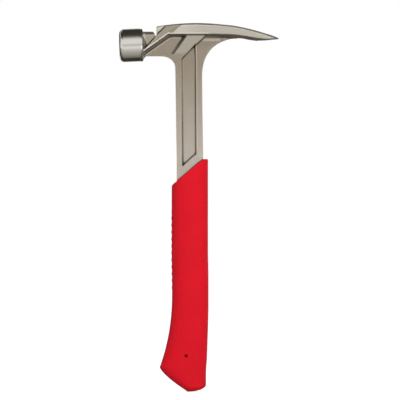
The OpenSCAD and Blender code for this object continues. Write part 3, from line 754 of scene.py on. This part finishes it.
def grip_rings():
    """Rings up the outside, over the collar and down the hollow that holds shank and core."""
    heights = np.concatenate(
        [
            SIDE_ROUND * (1 - np.cos(np.linspace(0, np.pi / 2, BUTT_RINGS, endpoint=False))),
            np.arange(SIDE_ROUND, RIB_LOW - RIB_PITCH / 2, RING_STEP),
            np.arange(RIB_LOW - RIB_PITCH / 2, RIBS_END, RIB_PITCH / RINGS_PER_RIB),
        ]
    )
    rings = [ring(*section(h), BUTT_Z + h) for h in heights]
    x, y = section(RIBS_END)
    low = BUTT_Z + RIBS_END
    for k in np.linspace(0, 1, COLLAR_RINGS):
        rings.append(ring(x, y, low + (collar_top(x) - COLLAR_ROUND - low) * k))
    for turn in np.linspace(0, np.pi / 2, ROUND_RINGS)[1:]:
        x, y = section(RIBS_END, COLLAR_ROUND * (1 - math.cos(turn)))
        rings.append(ring(x, y, collar_top(x) - COLLAR_ROUND * (1 - math.sin(turn))))
    hole_x, hole_y = box_section(SHANK_W / 2 + BOND_GAP, SHANK_T / 2 + BOND_GAP, HOLLOW_CORNER)
    for k in np.linspace(0, 1, TOP_RINGS)[1:]:
        ring_x, ring_y = x + (hole_x - x) * k, y + (hole_y - y) * k
        rings.append(ring(ring_x, ring_y, collar_top(ring_x)))
    shoulder = BUTT_Z + SHOULDER_H - SHOULDER_GAP
    rings.append(ring(hole_x, hole_y, shoulder))
    core_x, core_y = box_section(GRIP_W / 2 - SKIN_WALL, GRIP_T / 2 - SKIN_WALL, CORE_R)
    rings.append(ring(core_x, core_y, shoulder))
    rings.append(ring(core_x, core_y, BUTT_Z + CORE_END))
    return rings


def cut_hole(target, side):
    """Drills the locating hole into one wall of the skin, with a softened rim."""
    r = LOCATOR_D / 2
    profile = [
        (LOCATOR_WALL - LOCATOR_DEPTH, r),
        (LOCATOR_WALL - LOCATOR_RIM, r),
        (LOCATOR_WALL + SINK_OUT, r + SINK_WIDER),
    ]
    angle = np.linspace(0, 2 * np.pi, LOCATOR_POINTS, endpoint=False)[::side]
    across, up = np.cos(angle), np.sin(angle)
    rings = [
        np.stack([LOCATOR[0] - size * across, np.full(LOCATOR_POINTS, side * y), LOCATOR[1] + size * up], 1)
        for y, size in profile
    ]
    drill = make_object("drill", ring_mesh("drill", rings))
    cut = target.modifiers.new("hole", "BOOLEAN")
    cut.operation = "DIFFERENCE"
    cut.solver = "EXACT"
    cut.object = drill
    mesh = bpy.data.meshes.new_from_object(target.evaluated_get(bpy.context.evaluated_depsgraph_get()))
    target.modifiers.clear()
    target.data = mesh
    bpy.data.objects.remove(drill)


def make_grip():
    """The moulded skin with its two locating holes."""
    grip = make_object("soft_grip", ring_mesh("soft_grip", grip_rings()))
    for side in (-1, 1):
        cut_hole(grip, side)
    grip.data.shade_smooth()
    grip.data.set_sharp_from_angle(angle=SHARP_ANGLE)
    return grip


# Materials


def add(tree, kind, inputs=(), **settings):
    """A new node. Its inputs are values, or other nodes' sockets that are linked to it."""
    made = tree.nodes.new(kind)
    for name, value in settings.items():
        setattr(made, name, value)
    for name, value in dict(inputs).items():
        if isinstance(value, bpy.types.NodeSocket):
            tree.links.new(value, made.inputs[name])
        else:
            made.inputs[name].default_value = value
    return made


def noise(tree, place, scale, detail=2.0, rough=0.5):
    """A grain, most of which lies in NOISE_RANGE."""
    inputs = {"Vector": place, "Scale": scale, "Detail": detail, "Roughness": rough}
    return add(tree, "ShaderNodeTexNoise", inputs).outputs["Fac"]


def spread(tree, value, low, high, start=0.0, end=1.0):
    """Maps the range low to high of a value onto start to end."""
    inputs = {"Value": value, "From Min": low, "From Max": high, "To Min": start, "To Max": end}
    return add(tree, "ShaderNodeMapRange", inputs).outputs["Result"]


def share(tree, name):
    """One of the mesh's attributes."""
    return add(tree, "ShaderNodeAttribute", attribute_name=name).outputs["Fac"]


def mix_value(tree, factor, a, b):
    inputs = {0: factor, 2: a, 3: b}
    return add(tree, "ShaderNodeMix", inputs, data_type="FLOAT").outputs[0]


def mix_colour(tree, factor, a, b, blend="MIX"):
    inputs = {0: factor, 6: a, 7: b}
    return add(tree, "ShaderNodeMix", inputs, data_type="RGBA", blend_type=blend).outputs[2]


def new_material(name):
    """An empty material: (material, its node tree, its Principled shader, a place in metres)"""
    material = bpy.data.materials.new(name)
    material.use_nodes = True
    tree = material.node_tree
    place = add(tree, "ShaderNodeTexCoord").outputs["Object"]
    return material, tree, tree.nodes["Principled BSDF"], place


def bump(tree, height, distance, strength):
    inputs = {"Height": height, "Distance": distance, "Strength": strength}
    return add(tree, "ShaderNodeBump", inputs).outputs["Normal"]


NOISE_RANGE = (0.3, 0.7)

# Steel: colours, COOL being painted next to the grip to take out the red light the grip throws on it
FORGED = (0.32, 0.272, 0.21, 1)
FORGED_LOW = (0.515, 0.46, 0.40, 1)
GROUND = (0.47, 0.442, 0.38, 1)
PAINTED_HIGHLIGHT = (0.80, 0.765, 0.69, 1)
WORN_SHEEN = (0.50, 0.455, 0.385, 1)
POLISHED = (0.66, 0.64, 0.605, 1)
PAINTED_SHADE = (0.05, 0.042, 0.03, 1)
COOL = (0.53, 0.52, 0.45, 1)
PATCHY = (0.8, 0.8, 0.8, 1)
# Heights between which the forging's colour gets lighter down the shank
LIGHTENS = (0.205, 0.12)
# Scales of grain and patches, how strong patches and worn edges with painted highlight are, roughness,
# grain height
GRAIN_SCALE, PATCH_SCALE = 1500, 70
PATCH_LEVEL, WORN_SHEEN_LEVEL = 0.3, 0.8
FORGED_ROUGH, GROUND_ROUGH, POLISHED_ROUGH = (0.42, 0.52), 0.34, (0.1, 0.14)
GRAIN_HEIGHT = 0.0001
FORGED_BUMP, GROUND_BUMP = 0.5, 0.15
FORGED_METAL = 0.8

# Soft red moulding
RED = (0.597, 0.0076, 0.0172, 1)
RED_DARK = tuple(0.93 * c for c in RED[:3]) + (1,)
RED_PATCH_SCALE, PORE_SCALE = 45, 1400
RED_ROUGH = (0.48, 0.6)
PORE_HEIGHT, PORE_BUMP = 0.0001, 0.35
RED_SPECULAR = 0.04

# Magnet and core
NICKEL = (0.55, 0.55, 0.56, 1)
NICKEL_SCALE, NICKEL_ROUGH, NICKEL_BUMP = 900, (0.18, 0.32), 0.3
CORE_BLACK = (0.03, 0.03, 0.033, 1)
CORE_SCALE, CORE_ROUGH, CORE_BUMP = 800, (0.45, 0.6), 0.4
MARK_HEIGHT = 0.00005


def steel_material():
    """Blasted forging with ground faces, a polished poll, worn edges, painted highlights and painted shade
    in creases.
    """
    material, tree, shader, place = new_material("forged_steel")
    polish, ground, bright = share(tree, "polish"), share(tree, "ground"), share(tree, "bright")
    grains = noise(tree, place, GRAIN_SCALE, 3)
    patches = noise(tree, place, PATCH_SCALE, 4, 0.6)
    height = add(tree, "ShaderNodeSeparateXYZ", {0: place}).outputs["Z"]
    forged = mix_colour(tree, spread(tree, height, *LIGHTENS), FORGED, FORGED_LOW)
    # Painted against the red light that the grip throws on the steel next to it
    forged = mix_colour(tree, share(tree, "near_grip"), forged, COOL)
    shade = spread(tree, patches, *NOISE_RANGE, 0.0, PATCH_LEVEL)
    forged = mix_colour(tree, shade, forged, PATCHY, "MULTIPLY")
    # Worn edges with a painted highlight
    colour = mix_colour(tree, spread(tree, share(tree, "edge"), 0, 1, 0, WORN_SHEEN_LEVEL), forged, WORN_SHEEN)
    colour = mix_colour(tree, ground, colour, GROUND)
    # Painted highlights, then painted shade
    colour = mix_colour(tree, bright, colour, PAINTED_HIGHLIGHT)
    colour = mix_colour(tree, share(tree, "crease"), colour, PAINTED_SHADE)
    colour = mix_colour(tree, polish, colour, POLISHED)
    tree.links.new(colour, shader.inputs["Base Color"])
    rough = mix_value(tree, ground, spread(tree, grains, *NOISE_RANGE, *FORGED_ROUGH), GROUND_ROUGH)
    rough = mix_value(tree, polish, rough, spread(tree, patches, *NOISE_RANGE, *POLISHED_ROUGH))
    tree.links.new(rough, shader.inputs["Roughness"])
    depth = mix_value(tree, polish, mix_value(tree, ground, FORGED_BUMP, GROUND_BUMP), 0.0)
    tree.links.new(bump(tree, grains, GRAIN_HEIGHT, depth), shader.inputs["Normal"])
    tree.links.new(mix_value(tree, polish, FORGED_METAL, 1.0), shader.inputs["Metallic"])
    return material


def grip_material():
    """Soft red moulding with a fine texture."""
    material, tree, shader, place = new_material("soft_red")
    patches = noise(tree, place, RED_PATCH_SCALE, 3)
    pores = noise(tree, place, PORE_SCALE)
    colour = mix_colour(tree, spread(tree, patches, *NOISE_RANGE), RED_DARK, RED)
    tree.links.new(colour, shader.inputs["Base Color"])
    tree.links.new(spread(tree, pores, *NOISE_RANGE, *RED_ROUGH), shader.inputs["Roughness"])
    tree.links.new(bump(tree, pores, PORE_HEIGHT, PORE_BUMP), shader.inputs["Normal"])
    shader.inputs["Specular IOR Level"].default_value = RED_SPECULAR
    return material


def magnet_material():
    """Nickel plating with faint scratches."""
    material, tree, shader, place = new_material("nickel")
    marks = noise(tree, place, NICKEL_SCALE, 3)
    tree.links.new(spread(tree, marks, *NOISE_RANGE, *NICKEL_ROUGH), shader.inputs["Roughness"])
    tree.links.new(bump(tree, marks, MARK_HEIGHT, NICKEL_BUMP), shader.inputs["Normal"])
    shader.inputs["Base Color"].default_value = NICKEL
    shader.inputs["Metallic"].default_value = 1.0
    return material


def core_material():
    """Hard black moulding."""
    material, tree, shader, place = new_material("hard_core")
    grain = noise(tree, place, CORE_SCALE)
    tree.links.new(spread(tree, grain, *NOISE_RANGE, *CORE_ROUGH), shader.inputs["Roughness"])
    tree.links.new(bump(tree, grain, MARK_HEIGHT, CORE_BUMP), shader.inputs["Normal"])
    shader.inputs["Base Color"].default_value = CORE_BLACK
    return material


# Pieces

forging = make_forging()
forging.data.materials.clear()
forging.data.materials.append(steel_material())
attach(forging, "root")
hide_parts("forged_body")

grip = make_grip()
grip.data.materials.clear()
grip.data.materials.append(grip_material())
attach(grip, "root")
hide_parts("grip_skin")

for name, material, slot in (
    ("nail_magnet", magnet_material(), "magnet"),
    ("grip_core", core_material(), "core_plastic"),
):
    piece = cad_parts[name]
    piece.data.materials.clear()
    piece.data.materials.append(material)


# Studio

WORLD_FILL = 0.5
FLOOR_REACH = 12.0
FLOOR_COLOUR = (0.8, 0.8, 0.8, 1)
FLOOR_ROUGH = 0.9
FLOOR_LIFT = 0.72
WHITE = (1, 1, 1, 1)
KEY_AT = (0.45, -1.7, 0.9)
KEY_AIM = (0, 0, 0.08)
KEY_SIZE = (1.2, 1.2)
KEY_POWER = 30

# Cards that only reflections show: (distance along an axis in metres, brightness). Where a card is dark,
# it is warm: CARD_WARMTH is what its red, green and blue then lose.
CARD_REACH = 2.0
CARD_WARMTH = (0.0, 0.04, 0.25)
TOP_CARD_Z = 1.0
TOP_CARD_X = (-1.1, 1.0)
TOP_CARD = [
    (-1.05, 1.0), (-0.95, 0.92), (-0.74, 0.78), (-0.59, 0.46), (-0.45, 0.2), (-0.31, 0.08),
    (-0.1, 0.05), (0.92, 0.05), (1.2, 1.0),
]
LOW_CARD_Z = BUTT_Z * MM + 0.0005
LOW_CARD_X = (-2.0, 0.3)
LOW_CARD = [
    (-6.0, 0.8), (-2.5, 0.95), (-1.3, 1.0), (-0.9, 1.0), (-0.61, 0.82), (-0.35, 0.62), (-0.2, 0.49),
    (-0.09, 0.36), (0.02, 0.2), (0.08, 0.03), (0.4, 0.08), (1.3, 1.0), (6.0, 0.9),
]
FRONT_CARD_Y = -1.5
FRONT_CARD = [(0.0, 1.0), (0.1, 0.74), (0.36, 0.74), (0.52, 1.0)]
BACK_CARD_Y = 2.5
BACK_CARD = [(0.25, 0.8), (0.4, 0.1), (1.3, 0.1), (1.6, 0.8)]
LEFT_CARD_X = -0.9
LEFT_CARD_Z = (-0.1, 0.72)
LEFT_CARD = [(0.1, 0.4), (0.4, 0.1), (2.4, 0.1)]


def seen_rays(tree):
    """1 for the rays that show a surface as such: those of the camera, of reflections and of glass."""
    rays = add(tree, "ShaderNodeLightPath").outputs
    camera_or_gloss = add(
        tree,
        "ShaderNodeMath",
        {0: rays["Is Camera Ray"], 1: rays["Is Glossy Ray"]},
        operation="MAXIMUM",
    ).outputs[0]
    inputs = {0: camera_or_gloss, 1: rays["Is Transmission Ray"]}
    return add(tree, "ShaderNodeMath", inputs, operation="MAXIMUM").outputs[0]


def make_world(fill):
    """A white surround that lights the object with a softer fill."""
    world = bpy.data.worlds.new("studio")
    bpy.context.scene.world = world
    world.use_nodes = True
    tree = world.node_tree
    background = tree.nodes["Background"]
    background.inputs["Color"].default_value = WHITE
    tree.links.new(mix_value(tree, seen_rays(tree), fill, 1.0), background.inputs["Strength"])


def plane(name, corners):
    """A flat piece of the stage."""
    mesh = bpy.data.meshes.new(name)
    mesh.from_pydata([tuple(c) for c in corners], [], [(0, 1, 2, 3)])
    made = make_object(name, mesh)
    return made


def make_floor(lift):
    """A white floor that keeps the object's shadow."""
    sides = ((-1, -1), (1, -1), (1, 1), (-1, 1))
    floor = plane("floor", [(FLOOR_REACH * a, FLOOR_REACH * b, BUTT_Z * MM) for a, b in sides])
    material = bpy.data.materials.new("floor_white")
    material.use_nodes = True
    tree = material.node_tree
    shader = tree.nodes["Principled BSDF"]
    shader.inputs["Base Color"].default_value = FLOOR_COLOUR
    shader.inputs["Roughness"].default_value = FLOOR_ROUGH
    shader.inputs["Specular IOR Level"].default_value = 0.0
    shader.inputs["Emission Color"].default_value = WHITE
    tree.links.new(mix_value(tree, seen_rays(tree), 0.0, lift), shader.inputs["Emission Strength"])
    floor.data.materials.append(material)


def make_card(name, corners, axis, stops):
    """A card that only reflections show. Its stops give its brightness along an axis."""
    card = plane(name, corners)
    card.visible_camera = card.visible_diffuse = card.visible_shadow = card.visible_transmission = False
    material = bpy.data.materials.new(name)
    material.use_nodes = True
    tree = material.node_tree
    tree.nodes.remove(tree.nodes["Principled BSDF"])
    place = add(tree, "ShaderNodeTexCoord").outputs["Object"]
    start, end = stops[0][0], stops[-1][0]
    along = spread(tree, add(tree, "ShaderNodeSeparateXYZ", {0: place}).outputs[axis], start, end)
    shades = add(tree, "ShaderNodeValToRGB", {"Fac": along})
    for at, _ in stops[1:-1]:
        shades.color_ramp.elements.new((at - start) / (end - start))
    for element, (_, level) in zip(shades.color_ramp.elements, stops):
        element.color = [level * (1 - loss * (1 - level)) for loss in CARD_WARMTH] + [1]
    light = add(tree, "ShaderNodeEmission", {"Color": shades.outputs["Color"]})
    tree.links.new(light.outputs[0], tree.nodes["Material Output"].inputs["Surface"])
    card.data.materials.append(material)


def level_card(name, z, left, right, stops):
    """A level card, with stops along Y."""
    start, end = stops[0][0], stops[-1][0]
    corners = [(left, start, z), (right, start, z), (right, end, z), (left, end, z)]
    make_card(name, corners, "Y", stops)


def upright_card(name, y, stops):
    """An upright card across X, with stops along Z."""
    low, high = stops[0][0], stops[-1][0]
    corners = [(-CARD_REACH, y, low), (CARD_REACH, y, low), (CARD_REACH, y, high), (-CARD_REACH, y, high)]
    make_card(name, corners, "Z", stops)


def side_card(name, x, low, high, stops):
    """An upright card along Y, with stops along Y."""
    start, end = stops[0][0], stops[-1][0]
    corners = [(x, start, low), (x, end, low), (x, end, high), (x, start, high)]
    make_card(name, corners, "Y", stops)


def make_lamp(name, place, aim, size, power):
    """A flat lamp that reflections don't show."""
    lamp = bpy.data.lights.new(name, "AREA")
    lamp.shape = "RECTANGLE"
    lamp.size, lamp.size_y = size
    lamp.energy = power
    made = make_object(name, lamp)
    made.location = place
    made.rotation_euler = (Vector(aim) - Vector(place)).to_track_quat("-Z", "Y").to_euler()
    made.visible_glossy = False


def make_camera():
    """The photo's level view of the side."""
    camera = bpy.data.cameras.new("photo")
    camera.lens, camera.sensor_width = LENS, SENSOR
    made = make_object("photo", camera)
    distance = FRAME_WIDTH * LENS / SENSOR
    made.location = (FRAME_CENTRE[0] * MM, -distance * MM, FRAME_CENTRE[1] * MM)
    made.rotation_euler = (math.pi / 2, 0, 0)
    bpy.context.scene.camera = made


bpy.context.scene.view_settings.view_transform = "Standard"
make_world(WORLD_FILL)
make_floor(FLOOR_LIFT)
level_card("top_card", TOP_CARD_Z, *TOP_CARD_X, TOP_CARD)
level_card("low_card", LOW_CARD_Z, *LOW_CARD_X, LOW_CARD)
upright_card("front_card", FRONT_CARD_Y, FRONT_CARD)
upright_card("back_card", BACK_CARD_Y, BACK_CARD)
side_card("left_card", LEFT_CARD_X, *LEFT_CARD_Z, LEFT_CARD)
make_lamp("key", KEY_AT, KEY_AIM, KEY_SIZE, KEY_POWER)
make_camera()
